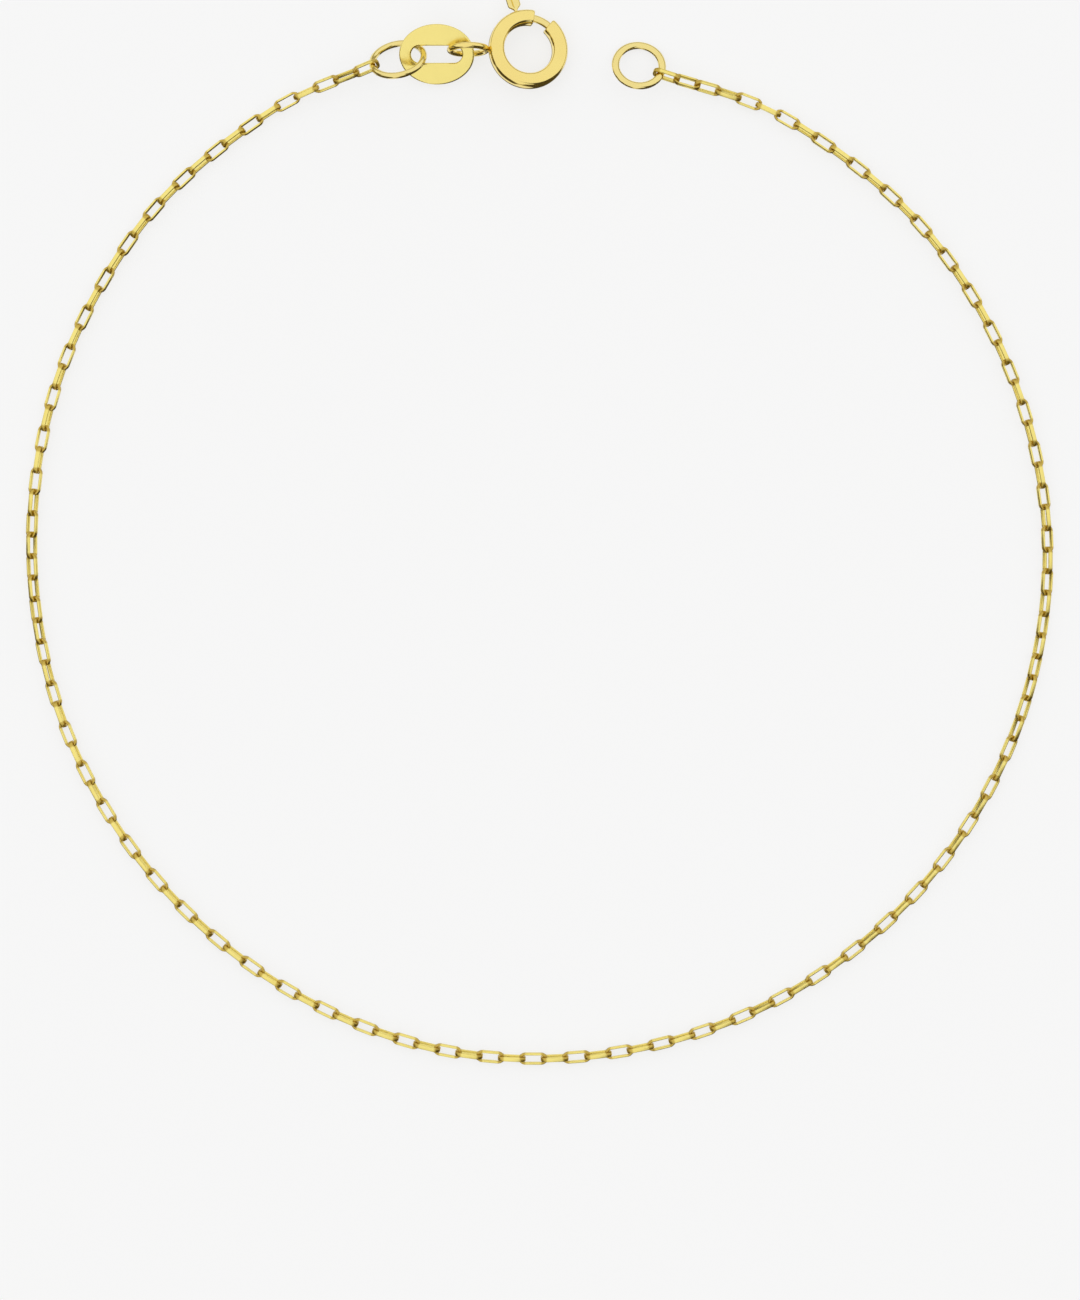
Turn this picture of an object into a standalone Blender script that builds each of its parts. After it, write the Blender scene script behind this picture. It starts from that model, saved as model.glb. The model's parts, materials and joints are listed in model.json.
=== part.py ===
"""Fine cable-chain bracelet with an oval tag and a spring-ring clasp, lying open on a surface.

Units are metres, +Z is up. The loop is laid out round its own middle first, and the whole
bracelet is then moved so that the origin is the bottom centre of its box.
"""

import math

import bmesh
import bpy
import numpy as np
from mathutils import Matrix, Vector

MM = 0.001

# Chain link, a flat wire bent to an oval, thicker in its two bows than in its sides
LINK_LENGTH = 1.689 * MM
LINK_WIDTH = 0.74 * MM
LINK_WIRE = 0.14 * MM
LINK_BOW = 0.21 * MM
LINK_BAND = 0.28 * MM
LINK_END_SLOPE = 0.09 * MM
LINK_CORNER = 0.16 * MM
LINK_BULGE = 0.03 * MM
SOLDER_BITE = 0.03 * MM
HALVES_GAP = 0.03 * MM

# Jump ring between the chain and the tag
JUMP_DIAMETER = 3.54 * MM
JUMP_WIRE = 0.38 * MM
JUMP_TILT = 46
JUMP_BEARING = 13
JUMP_SEAT = (0.14 * MM, 0.24 * MM)

# Tag, an oval plate with one slot
TAG_LENGTH = 4.54 * MM
TAG_WIDTH = 3.70 * MM
TAG_THICKNESS = 0.24 * MM
TAG_TILT = 20
TAG_LIFT = 0.25 * MM
TAG_SIDE_STEP = 0.25 * MM
SLOT_LENGTH = 3.10 * MM
SLOT_WIDTH = 1.05 * MM

# Spring-ring clasp: a tube bent to a ring, open at the top right, and the eye soldered to it
CLASP_PLACE = (-0.57 * MM, 30.28 * MM)
CLASP_RADIUS = 1.95 * MM
TUBE_DIAMETER = 0.98 * MM
TUBE_BORE = 0.64 * MM
TUBE_FROM = 80
TUBE_TO = 410
CLASP_TILT = 13
CLASP_RAISED_BEARING = 211
EYE_DIAMETER = 2.58 * MM
EYE_WIRE = 0.38 * MM
EYE_TILT = 78
EYE_BEARING = 181
EYE_BITE = 0.13 * MM

# Trigger: the sprung bolt that closes the ring, and its thumb lever
BOLT_DIAMETER = 0.46 * MM
BOLT_CATCH = 8
BOLT_TAIL = 62
LEVER_ANGLE = 107
LEVER_THICKNESS = 0.22 * MM
LEVER_STEM = 0.20 * MM
LEVER_TIP = 0.80 * MM
LEVER_STANDS = 0.90 * MM
LEVER_TRAVEL = 40
LEVER_CLEARANCE = 0.05 * MM

# Ring at the other end of the chain, which the clasp closes on; its wire is flattened
END_DIAMETER = 3.29 * MM
END_WIRE = 0.46 * MM
END_HEIGHT = 0.36 * MM
END_TILT = 24
END_BEARING = 170
END_LINK_BEARING = 12

# Running clearance in a link: between its sides and the next link's bow, and between its bow and a ring
LINK_CLEARANCE = 0.02 * MM
RING_CLEARANCE = 0.035 * MM

# Route of the chain over the surface: bearing in degrees and distance from the loop's middle
ROUTE = (
    (122, 31.10 * MM),
    (140, 31.05 * MM),
    (160, 30.80 * MM),
    (180, 30.60 * MM),
    (200, 30.50 * MM),
    (220, 30.44 * MM),
    (240, 30.53 * MM),
    (260, 30.73 * MM),
    (280, 30.70 * MM),
    (300, 30.78 * MM),
    (320, 30.86 * MM),
    (340, 30.90 * MM),
    (360, 30.86 * MM),
    (380, 30.60 * MM),
    (400, 30.42 * MM),
    (420, 30.16 * MM),
    (436, 29.78 * MM),
)
# Twist of the chain about its own length: share of the links, and the lean of the flat links in degrees
TWIST = (
    (0.00, -42),
    (0.05, 15),
    (0.18, 15),
    (0.23, 38),
    (0.29, 15),
    (0.66, 15),
    (0.74, 38),
    (0.82, 15),
    (0.94, 15),
    (1.00, -60),
)
LIFT_REACH = 7.0 * MM

RING_SEGMENTS = 20
RING_SIDES = 6
TUBE_STEP = 11
TUBE_SIDES = 10
TAG_POINTS = 24
SLOT_POINTS = 8
FULL_TURN = 360

GOLD = (0.86, 0.62, 0.20)
PALE_GOLD = (0.90, 0.70, 0.30)


def clear_scene():
    for old in list(bpy.data.objects):
        bpy.data.objects.remove(old, do_unlink=True)


def new_collection(name, helper=False):
    collection = bpy.data.collections.new(name)
    bpy.context.scene.collection.children.link(collection)
    collection.hide_render = helper
    return collection


def metal(name, colour, roughness):
    material = bpy.data.materials.new(name)
    material.use_nodes = True
    shader = material.node_tree.nodes["Principled BSDF"]
    shader.inputs["Base Color"].default_value = (*colour, 1.0)
    shader.inputs["Metallic"].default_value = 1.0
    shader.inputs["Roughness"].default_value = roughness
    return material


def bearing(degrees):
    """Level unit vector at this angle from +X towards +Y."""
    turn = math.radians(degrees)
    return Vector((math.cos(turn), math.sin(turn), 0.0))


def tilted_frame(centre, axis_bearing, tilt):
    """Matrix of a ring whose axis of tilt lies level along axis_bearing, and whose far side rises."""
    return (
        Matrix.Translation(centre)
        @ Matrix.Rotation(math.radians(axis_bearing), 4, "Z")
        @ Matrix.Rotation(math.radians(tilt), 4, "X")
    )


def finish(obj, collection, material):
    """Puts an object in its collection, with its material and smooth shading."""
    for holder in list(obj.users_collection):
        holder.objects.unlink(obj)
    collection.objects.link(obj)
    obj.data.materials.clear()
    obj.data.materials.append(material)
    if obj.type == "MESH":
        obj.data.shade_smooth()
        obj.data.set_sharp_from_angle(angle=math.radians(50))
    return obj


def as_mesh(curve_object):
    """The curve's evaluated surface as a mesh object with its caps welded."""
    graph = bpy.context.evaluated_depsgraph_get()
    mesh = bpy.data.meshes.new_from_object(curve_object.evaluated_get(graph))
    name = curve_object.name
    matrix = curve_object.matrix_world.copy()
    bpy.data.objects.remove(curve_object, do_unlink=True)
    solid = bpy.data.objects.new(name, mesh)
    solid.matrix_world = matrix
    bpy.context.scene.collection.objects.link(solid)
    work = bmesh.new()
    work.from_mesh(mesh)
    bmesh.ops.remove_doubles(work, verts=work.verts, dist=MM / 10000)
    bmesh.ops.recalc_face_normals(work, faces=work.faces)
    work.to_mesh(mesh)
    work.free()
    return solid


def plate(name, outlines, thickness, matrix):
    """Flat solid from closed outlines in its own plane: the first is the edge, the others are holes."""
    curve = bpy.data.curves.new(name, "CURVE")
    curve.dimensions = "2D"
    curve.fill_mode = "BOTH"
    curve.extrude = thickness / 2
    for outline in outlines:
        spline = curve.splines.new("POLY")
        spline.points.add(len(outline) - 1)
        for point, (x, y) in zip(spline.points, outline):
            point.co = (x, y, 0.0, 1.0)
        spline.use_cyclic_u = True
    obj = bpy.data.objects.new(name, curve)
    obj.matrix_world = matrix
    bpy.context.scene.collection.objects.link(obj)
    bpy.context.view_layer.update()
    return as_mesh(obj)


def arc_tube(name, radius, diameter, start, end, sides, matrix):
    """Round wire or tube along an arc of a circle, with closed ends."""
    curve = bpy.data.curves.new(name, "CURVE")
    curve.dimensions = "3D"
    curve.bevel_depth = diameter / 2
    curve.bevel_resolution = sides // 2 - 2
    curve.use_fill_caps = True
    steps = max(2, round(abs(end - start) / TUBE_STEP))
    spline = curve.splines.new("POLY")
    spline.points.add(steps)
    for point, angle in zip(spline.points, np.linspace(start, end, steps + 1)):
        point.co = (*(bearing(angle) * radius), 1.0)
    obj = bpy.data.objects.new(name, curve)
    obj.matrix_world = matrix
    bpy.context.scene.collection.objects.link(obj)
    bpy.context.view_layer.update()
    return as_mesh(obj)


def wire_ring(name, diameter, wire, height, matrix):
    """Closed round ring; diameter is measured over the wire, and height is the wire's own, along its axis."""
    bpy.ops.mesh.primitive_torus_add(
        major_radius=(diameter - wire) / 2,
        minor_radius=wire / 2,
        major_segments=RING_SEGMENTS,
        minor_segments=RING_SIDES,
    )
    obj = bpy.context.object
    obj.name = name
    obj.data.transform(Matrix.Diagonal((1.0, 1.0, height / wire, 1.0)))
    obj.matrix_world = matrix
    return obj


def combine(target, tool, operation, helpers):
    """Adds a Boolean modifier with the tool, which moves to the collection of helpers."""
    for holder in list(tool.users_collection):
        holder.objects.unlink(tool)
    helpers.objects.link(tool)
    tool.hide_render = True
    tool.display_type = "WIRE"
    modifier = target.modifiers.new(f"{operation.lower()} {tool.name}", "BOOLEAN")
    modifier.operation = operation
    modifier.solver = "EXACT"
    modifier.object = tool


def oval(length, width, count):
    """Points of an ellipse."""
    turns = [2 * math.pi * step / count for step in range(count)]
    return [(length / 2 * math.cos(turn), width / 2 * math.sin(turn)) for turn in turns]


def stadium(length, width, points_per_end):
    """Points of a slot with round ends, along X."""
    points = []
    for side, first in ((1, -90), (-1, 90)):
        for step in range(points_per_end):
            turn = math.radians(first + 180 * step / (points_per_end - 1))
            x = side * (length - width) / 2 + width / 2 * math.cos(turn)
            points.append((x, width / 2 * math.sin(turn)))
    return points


def ring_low_centre(diameter, wire, height, tilt):
    """Height of a tilted ring's middle when the ring stands on the surface."""
    lean = math.radians(tilt)
    below = math.hypot(wire / 2 * math.sin(lean), height / 2 * math.cos(lean))
    return (diameter - wire) / 2 * math.sin(lean) + below


class Layout:
    """Places of the clasp, tag and rings, each worked out from the piece that holds it."""

    def __init__(self):
        self.clasp_frame = self.place_clasp()
        self.eye_frame, self.eye_centre = self.place_eye()
        self.tag_frame = self.place_tag()
        self.jump_frame, self.chain_start = self.place_jump_ring()

    def place_clasp(self):
        height = CLASP_RADIUS * math.sin(math.radians(CLASP_TILT)) + TUBE_DIAMETER / 2
        axis = CLASP_RAISED_BEARING - 90
        frame = tilted_frame(Vector((*CLASP_PLACE, height)), axis, CLASP_TILT)
        return frame @ Matrix.Rotation(math.radians(-axis), 4, "Z")

    def place_eye(self):
        reach = CLASP_RADIUS + TUBE_DIAMETER / 2 + EYE_DIAMETER / 2 - EYE_BITE
        centre = Vector((*CLASP_PLACE, 0.0)) + bearing(EYE_BEARING) * reach
        centre.z = ring_low_centre(EYE_DIAMETER, EYE_WIRE, EYE_WIRE, EYE_TILT)
        return tilted_frame(centre, EYE_BEARING - 180, EYE_TILT), centre

    def place_tag(self):
        rim = (TAG_LENGTH - SLOT_LENGTH) / 2
        centre = self.eye_centre - Vector(((SLOT_LENGTH + rim) / 2, 0.0, 0.0))
        centre.y = self.eye_centre.y - TAG_SIDE_STEP
        lean = math.radians(TAG_TILT)
        centre.z = TAG_LIFT + TAG_WIDTH / 2 * math.sin(lean) + TAG_THICKNESS / 2 * math.cos(lean)
        return Matrix.Translation(centre) @ Matrix.Rotation(lean, 4, "X")

    def place_jump_ring(self):
        """The ring comes up through the slot's left end, so its middle follows from that crossing."""
        radius = (JUMP_DIAMETER - JUMP_WIRE) / 2
        lean = math.radians(JUMP_TILT)
        seat = Vector((-(SLOT_LENGTH - SLOT_WIDTH) / 2 + JUMP_SEAT[0], JUMP_SEAT[1], 0.0))
        crossing = self.tag_frame @ seat
        height = ring_low_centre(JUMP_DIAMETER, JUMP_WIRE, JUMP_WIRE, JUMP_TILT)
        below = math.asin((height - crossing.z) / (radius * math.sin(lean)))
        along = bearing(JUMP_BEARING)
        across = bearing(JUMP_BEARING + 90)
        centre = crossing - along * radius * math.cos(below)
        centre -= across * radius * math.sin(below) * math.cos(lean)
        centre.z = height
        frame = tilted_frame(centre, JUMP_BEARING + 180, JUMP_TILT)
        return frame, centre - along * radius


def lean_at(share):
    """Lean of the flat links, from the twist table with eased steps."""
    for (here, lean), (there, next_lean) in zip(TWIST, TWIST[1:]):
        if share <= there:
            part = (share - here) / (there - here)
            return lean + (next_lean - lean) * part * part * (3 - 2 * part)
    return TWIST[-1][1]


def resting_height(lean):
    """Height of the chain's middle where its links stand on the surface at this lean."""
    turn = math.radians(abs(lean))
    return LINK_WIDTH / 2 * math.cos(turn) + LINK_BAND / 2 * math.sin(turn)


def lifted(height, distance, end_height):
    """Height near an end of the chain, where the ring holds the links up."""
    part = min(max(1 - distance / LIFT_REACH, 0.0), 1.0)
    return height + (end_height - height) * part * part * (3 - 2 * part)


def smooth_path(points, per_span=24):
    """Points along a Catmull-Rom curve through the given points, and the distance to each."""
    ends = [2 * points[0] - points[1], *points, 2 * points[-1] - points[-2]]
    path = []
    for before, start, end, after in zip(ends, ends[1:], ends[2:], ends[3:]):
        for step in range(per_span):
            t = step / per_span
            path.append(
                0.5
                * (
                    2 * start
                    + (end - before) * t
                    + (2 * before - 5 * start + 4 * end - after) * t * t
                    + (3 * start - before - 3 * end + after) * t**3
                )
            )
    path.append(points[-1])
    path = np.array(path)
    steps = np.linalg.norm(np.diff(path, axis=0), axis=1)
    return path, np.concatenate([[0.0], np.cumsum(steps)])


def chain_frames(start):
    """Matrix of each link: X along the chain, Z square to the link's own plane."""
    route = [start.xy, *(bearing(angle).xy * distance for angle, distance in ROUTE)]
    path, distances = smooth_path([np.array(point) for point in route])
    pitch = LINK_LENGTH - 2 * LINK_BOW + SOLDER_BITE
    first = LINK_LENGTH / 2 - LINK_BOW - JUMP_WIRE / 2 - RING_CLEARANCE
    last = LINK_LENGTH / 2 - LINK_BOW - END_WIRE / 2 - RING_CLEARANCE
    pairs = round((distances[-1] - first - last - pitch) / (2 * pitch))
    count = 2 * pairs + 1
    middle = count // 2
    spots = [first + pitch * index + HALVES_GAP * (index > middle) for index in range(count)]
    length = spots[-1] + last
    end_height = ring_low_centre(END_DIAMETER, END_WIRE, END_HEIGHT, END_TILT) + rise_at_link()

    def place(distance):
        x = np.interp(distance, distances, path[:, 0])
        y = np.interp(distance, distances, path[:, 1])
        height = resting_height(lean_at(distance / length))
        height = lifted(height, distance, start.z)
        height = lifted(height, length - distance, end_height)
        return Vector((x, y, height))

    frames = []
    for index, spot in enumerate(spots):
        along = (place(spot + pitch / 4) - place(spot - pitch / 4)).normalized()
        outward = along.cross(Vector((0, 0, 1))).normalized()
        upright = outward.cross(along)
        lean = math.radians(lean_at(spot / length) + 90 * (index % 2))
        normal = upright * math.cos(lean) + outward * math.sin(lean)
        side = normal.cross(along)
        turn = Matrix((along, side, normal)).transposed().to_4x4()
        frames.append(Matrix.Translation(place(spot)) @ turn)
    return frames, middle


def rise_at_link():
    """Height of the end ring's wire over its middle where the last link holds it."""
    radius = (END_DIAMETER - END_WIRE) / 2
    return radius * math.sin(math.radians(END_LINK_BEARING)) * math.sin(math.radians(END_TILT))


def link_outline(inset):
    """Ten-sided outline of a link: inset 0 is its outer edge, inset 1 its inner edge."""
    end = LINK_LENGTH / 2 - LINK_BOW * inset
    side = LINK_WIDTH / 2 - LINK_WIRE * inset
    flat = LINK_BAND / 2 + LINK_CLEARANCE + LINK_END_SLOPE * (1 - inset)
    quarter = ((end, flat), (end - LINK_CORNER, side - LINK_BULGE))
    right = [(x, -y) for x, y in quarter] + [(x, y) for x, y in reversed(quarter)]
    right = [right[1], right[0], right[3], right[2]]
    left = [(-x, -y) for x, y in right]
    return [*right, (0.0, side), *left, (0.0, -side)]


def link_set(name, frames):
    """One mesh of every link in frames; neighbours in it don't touch."""
    outlines = (link_outline(0), link_outline(1))
    pattern = plate("link", outlines, LINK_BAND, Matrix())
    work = bmesh.new()
    for frame in frames:
        known = len(work.verts)
        work.from_mesh(pattern.data)
        work.verts.ensure_lookup_table()
        bmesh.ops.transform(work, matrix=frame, verts=work.verts[known:])
    mesh = bpy.data.meshes.new(name)
    work.to_mesh(mesh)
    work.free()
    bpy.data.objects.remove(pattern, do_unlink=True)
    obj = bpy.data.objects.new(name, mesh)
    bpy.context.scene.collection.objects.link(obj)
    return obj


def make_chain(name, frames, parts, helpers, material):
    """A run of interlocked links, soldered where their ends meet."""
    chain = link_set(name, frames[0::2])
    crossing = link_set(f"{name}_upright_links", frames[1::2])
    combine(chain, crossing, "UNION", helpers)
    return finish(chain, parts, material)


def make_tag(frame, parts, material):
    outlines = (
        oval(TAG_LENGTH, TAG_WIDTH, TAG_POINTS),
        stadium(SLOT_LENGTH, SLOT_WIDTH, SLOT_POINTS),
    )
    return finish(plate("tag", outlines, TAG_THICKNESS, frame), parts, material)


def make_clasp_body(layout, parts, helpers, material):
    """The bent tube with its eye, hollow from end to end, and slotted for the lever."""
    frame = layout.clasp_frame
    bore_ends = (TUBE_FROM - BOLT_CATCH, TUBE_TO + BOLT_CATCH)
    body = arc_tube("clasp_body", CLASP_RADIUS, TUBE_DIAMETER, TUBE_FROM, TUBE_TO, TUBE_SIDES, frame)
    eye = wire_ring("clasp_eye", EYE_DIAMETER, EYE_WIRE, EYE_WIRE, layout.eye_frame)
    bore = arc_tube("clasp_bore", CLASP_RADIUS, TUBE_BORE, *bore_ends, TUBE_SIDES - 2, frame)
    combine(body, eye, "UNION", helpers)
    combine(body, bore, "DIFFERENCE", helpers)
    combine(body, lever_slot(frame), "DIFFERENCE", helpers)
    return finish(body, parts, material)


def lever_slot(frame):
    """Cutter of the slot in the tube's outer wall that the lever runs in."""
    stem = math.degrees((LEVER_STEM / 2 + LEVER_CLEARANCE) / CLASP_RADIUS)
    turns = np.linspace(LEVER_ANGLE - stem, LEVER_ANGLE + LEVER_TRAVEL + stem, 6)
    inner = [tuple(bearing(turn).xy * CLASP_RADIUS) for turn in turns]
    outer = [tuple(bearing(turn).xy * (CLASP_RADIUS + TUBE_DIAMETER)) for turn in turns]
    width = LEVER_THICKNESS + 2 * LEVER_CLEARANCE
    return plate("clasp_lever_slot", [outer + inner[::-1]], width, frame)


def make_trigger(frame, parts, helpers, material):
    """The bolt that bridges the opening, with its lever; its origin is on the clasp's axis."""
    bolt = arc_tube(
        "clasp_trigger",
        CLASP_RADIUS,
        BOLT_DIAMETER,
        TUBE_TO - FULL_TURN - BOLT_CATCH,
        TUBE_FROM + BOLT_TAIL,
        TUBE_SIDES - 2,
        frame,
    )
    foot = CLASP_RADIUS
    neck = CLASP_RADIUS + TUBE_DIAMETER / 2
    tip = neck + LEVER_STANDS
    half_stem = LEVER_STEM / 2
    half_tip = LEVER_TIP / 2
    outline = [
        (foot, -half_stem),
        (neck, -half_stem),
        (tip - half_stem, -half_tip),
        (tip, -half_tip + half_stem),
        (tip, half_tip - half_stem),
        (tip - half_stem, half_tip),
        (neck, half_stem),
        (foot, half_stem),
    ]
    turned = frame @ Matrix.Rotation(math.radians(LEVER_ANGLE), 4, "Z")
    lever = plate("clasp_lever", [outline], LEVER_THICKNESS, turned)
    combine(bolt, lever, "UNION", helpers)
    return finish(bolt, parts, material)


def end_ring_frame(last_link):
    """The ring stands on the surface and passes through the end of the last link."""
    radius = (END_DIAMETER - END_WIRE) / 2
    lean = math.radians(END_TILT)
    reach = LINK_LENGTH / 2 - LINK_BOW - END_WIRE / 2 - RING_CLEARANCE
    held = last_link @ Vector((reach, 0.0, 0.0))
    turn = math.radians(END_LINK_BEARING)
    along = bearing(END_BEARING)
    across = bearing(END_BEARING + 90)
    centre = held + along * radius * math.cos(turn)
    centre -= across * radius * math.sin(turn) * math.cos(lean)
    centre.z = ring_low_centre(END_DIAMETER, END_WIRE, END_HEIGHT, END_TILT)
    return tilted_frame(centre, END_BEARING, END_TILT)


def stand_on_origin(parts, helpers):
    """Moves every piece so that the origin is the bottom centre of the whole bracelet's box."""
    bpy.context.view_layer.update()
    graph = bpy.context.evaluated_depsgraph_get()
    corners = []
    for obj in parts.objects:
        evaluated = obj.evaluated_get(graph)
        mesh = evaluated.to_mesh()
        corners.extend(evaluated.matrix_world @ vertex.co for vertex in mesh.vertices)
        evaluated.to_mesh_clear()
    points = np.array(corners)
    low, high = points.min(axis=0), points.max(axis=0)
    middle = (low + high) / 2
    shift = Matrix.Translation((-middle[0], -middle[1], -low[2]))
    for obj in (*parts.objects, *helpers.objects):
        obj.matrix_world = shift @ obj.matrix_world
    bpy.context.view_layer.update()


def main():
    clear_scene()
    parts = new_collection("bracelet")
    helpers = new_collection("bracelet_cutters", helper=True)
    polished = metal("polished gold", GOLD, 0.12)
    satin = metal("satin gold", PALE_GOLD, 0.35)
    layout = Layout()
    frames, middle = chain_frames(layout.chain_start)
    make_chain("chain_left", frames[: middle + 1], parts, helpers, polished.copy())
    make_chain("chain_right", frames[middle + 1 :], parts, helpers, polished.copy())
    jump = wire_ring("jump_ring", JUMP_DIAMETER, JUMP_WIRE, JUMP_WIRE, layout.jump_frame)
    finish(jump, parts, polished.copy())
    make_tag(layout.tag_frame, parts, satin)
    make_clasp_body(layout, parts, helpers, polished.copy())
    make_trigger(layout.clasp_frame, parts, helpers, polished.copy())
    ring = wire_ring("end_ring", END_DIAMETER, END_WIRE, END_HEIGHT, end_ring_frame(frames[-1]))
    finish(ring, parts, polished)
    stand_on_origin(parts, helpers)


main()
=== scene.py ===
"""Looks of a fine gold bracelet: chain, rings, tag and spring-ring clasp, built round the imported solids.

Units are metres, +Z is up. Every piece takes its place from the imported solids, and its main sizes are
the part's own. In the clasp, the eye stands a little more upright than its solid, the tube is a little
narrower than it is high, and the lever has thicker lobes.
"""

import json
import math
import bmesh
import bpy
import numpy as np
from mathutils import Matrix, Vector


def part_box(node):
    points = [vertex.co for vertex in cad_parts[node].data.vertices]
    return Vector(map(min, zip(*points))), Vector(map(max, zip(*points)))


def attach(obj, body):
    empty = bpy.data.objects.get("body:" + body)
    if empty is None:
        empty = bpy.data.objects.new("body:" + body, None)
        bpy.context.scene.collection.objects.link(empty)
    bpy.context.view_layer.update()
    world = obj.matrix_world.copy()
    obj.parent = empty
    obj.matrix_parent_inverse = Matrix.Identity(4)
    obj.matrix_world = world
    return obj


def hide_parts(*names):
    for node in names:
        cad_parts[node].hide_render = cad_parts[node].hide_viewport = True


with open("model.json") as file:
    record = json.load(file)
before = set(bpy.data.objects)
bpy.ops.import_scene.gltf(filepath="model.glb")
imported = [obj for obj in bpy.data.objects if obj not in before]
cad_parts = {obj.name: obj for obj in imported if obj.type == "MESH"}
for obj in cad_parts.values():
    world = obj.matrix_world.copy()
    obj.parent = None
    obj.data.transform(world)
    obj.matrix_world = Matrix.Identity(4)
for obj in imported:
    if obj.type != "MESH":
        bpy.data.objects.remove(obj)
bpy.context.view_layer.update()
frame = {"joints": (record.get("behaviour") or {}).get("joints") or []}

MM = 0.001

# View of the photograph: straight down, the picture's top towards +Y
PICTURE_HIGH = 78.65 * MM
PICTURE_MIDDLE = Vector((0.151 * MM, -5.990 * MM, 0.4 * MM))
CAMERA_HEIGHT = 260 * MM
CAMERA_NEAR = 10 * MM
# Long side of the camera's sensor, in its own millimetres
SENSOR = 36.0

# Chain link, a flat wire bent to an oval, thicker in its two bows than in its sides
LINK_LENGTH = 1.689 * MM
LINK_WIDTH = 0.74 * MM
LINK_WIRE = 0.14 * MM
LINK_BOW = 0.21 * MM
LINK_BAND = 0.28 * MM
LINK_CORNER = 0.20 * MM
LINK_CORNER_STEPS = 3
LINK_EDGE = 0.06 * MM
LINK_EDGE_STEPS = 2
# Largest random roll of a link, in degrees
LINK_ROLL = 4.0
CHAIN_SEED = 7
# Bite of a link in the next one, gap between the chain's halves, and clearance from a bow to a ring
SOLDER_BITE = 0.03 * MM
HALVES_GAP = 0.03 * MM
RING_CLEARANCE = 0.035 * MM
# Painted shade in a link's bows, a deeper gold standing in for the shade and gold reflections between
# linked bows: where it starts and is full, from the link's middle, and its share
BOW_SHADE_FROM = 0.42 * MM
BOW_SHADE_TO = 0.56 * MM
BOW_SHADE = 0.8

# Rings of wire: outside diameter, wire, tilt, and the level bearing that each tilts about
JUMP_DIAMETER = 3.54 * MM
JUMP_WIRE = 0.38 * MM
JUMP_TILT = 46
JUMP_BEARING = 13
END_DIAMETER = 3.29 * MM
END_WIRE = 0.46 * MM
# The end ring's wire is flattened to this along the ring's axis
END_HEIGHT = 0.36 * MM
END_TILT = 24
END_BEARING = 170
# Where the last link holds the end ring, in degrees round it from its axis of tilt
END_LINK_BEARING = 12
EYE_DIAMETER = 2.58 * MM
EYE_WIRE = 0.38 * MM
# At this tilt the eye's two wires cover each other in the tag's slot
EYE_TILT = 84
EYE_BEARING = 181
# Depth of the eye in the tube's wall
EYE_BITE = 0.13 * MM
RING_STEPS = 180
RING_SIDES = 20
# Groove of a ring's soldered joint: half its width, its depth, and its place in degrees round each ring
JOINT_REACH = 0.05 * MM
JOINT_DEEP = 0.012 * MM
JUMP_JOINT = 12
END_JOINT = 140
EYE_JOINT = 5

# Tag
TAG_LENGTH = 4.54 * MM
TAG_WIDTH = 3.70 * MM
TAG_THICKNESS = 0.24 * MM
TAG_TILT = 20
TAG_EDGE = 0.10 * MM
TAG_STEPS = 120
SLOT_LENGTH = 3.10 * MM
SLOT_WIDTH = 1.05 * MM
SLOT_STEPS = 24
# Steps of a plate's rounded edge, and the share of that edge within which its points are merged
EDGE_STEPS = 2
MERGE_SHARE = 0.01

# Clasp: a hollow tube bent to a ring, open at the top right, with a sprung bolt and a thumb lever
CLASP_PLACE = (-0.57 * MM, 30.28 * MM)
CLASP_RADIUS = 1.95 * MM
CLASP_TILT = 13
CLASP_RAISED_BEARING = 211
TUBE_WIDE = 0.92 * MM
TUBE_HIGH = 0.98 * MM
TUBE_BORE = 0.64 * MM
TUBE_FROM = 80
TUBE_TO = 410
TUBE_STEPS = 121
TUBE_SIDES = 32
TUBE_LIP = 0.10 * MM
LIP_TURNS = (30, 60, 90)
BOLT_DIAMETER = 0.46 * MM
# Degrees that the bolt reaches into the tube's ends, past each side of the opening
BOLT_CATCH = 8
BOLT_TAIL = 62
BOLT_STEPS = 40
BOLT_SIDES = 24
NOSE_TURNS = (10, 30, 50, 70)
# Power of a section's outline: a circle, and the tube's flattened sides
ROUND = 2.0
SQUARISH = 3.2

# Thumb lever: a stem that fans into two lobes with a groove between, and the track that it slides in
LEVER_ANGLE = 107
LEVER_THICKNESS = 0.22 * MM
LEVER_LOBES = 0.34 * MM
LEVER_STEM = 0.20 * MM
LEVER_TIP = 0.80 * MM
LEVER_STANDS = 0.90 * MM
LEVER_TRAVEL = 40
LEVER_CLEARANCE = 0.05 * MM
LEVER_ROUND = 0.10 * MM
LEVER_FLARE = 0.45
LEVER_GROOVE = 0.90
LEVER_GROOVE_WIDE = 0.32
LEVER_SIDES = 64
LEVER_STEPS = 16
LEVER_FIRST_STEP = 0.06
LEVER_ROUND_TURNS = (25, 50, 70, 85)
TRACK_STEPS = 12
TRACK_EDGE_SHARE = 0.125

# Angle in degrees from which an edge shows as a crease
CREASE = 35
LEVER_CREASE = 60

# Route of the chain over the surface: bearing in degrees and distance from the loop's middle
ROUTE = (
    (122, 31.10 * MM),
    (140, 31.05 * MM),
    (160, 30.80 * MM),
    (180, 30.60 * MM),
    (200, 30.50 * MM),
    (220, 30.44 * MM),
    (240, 30.53 * MM),
    (260, 30.73 * MM),
    (280, 30.70 * MM),
    (300, 30.78 * MM),
    (320, 30.86 * MM),
    (340, 30.90 * MM),
    (360, 30.86 * MM),
    (380, 30.60 * MM),
    (400, 30.42 * MM),
    (420, 30.16 * MM),
    (436, 29.78 * MM),
)
ROUTE_STEPS = 24
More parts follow.
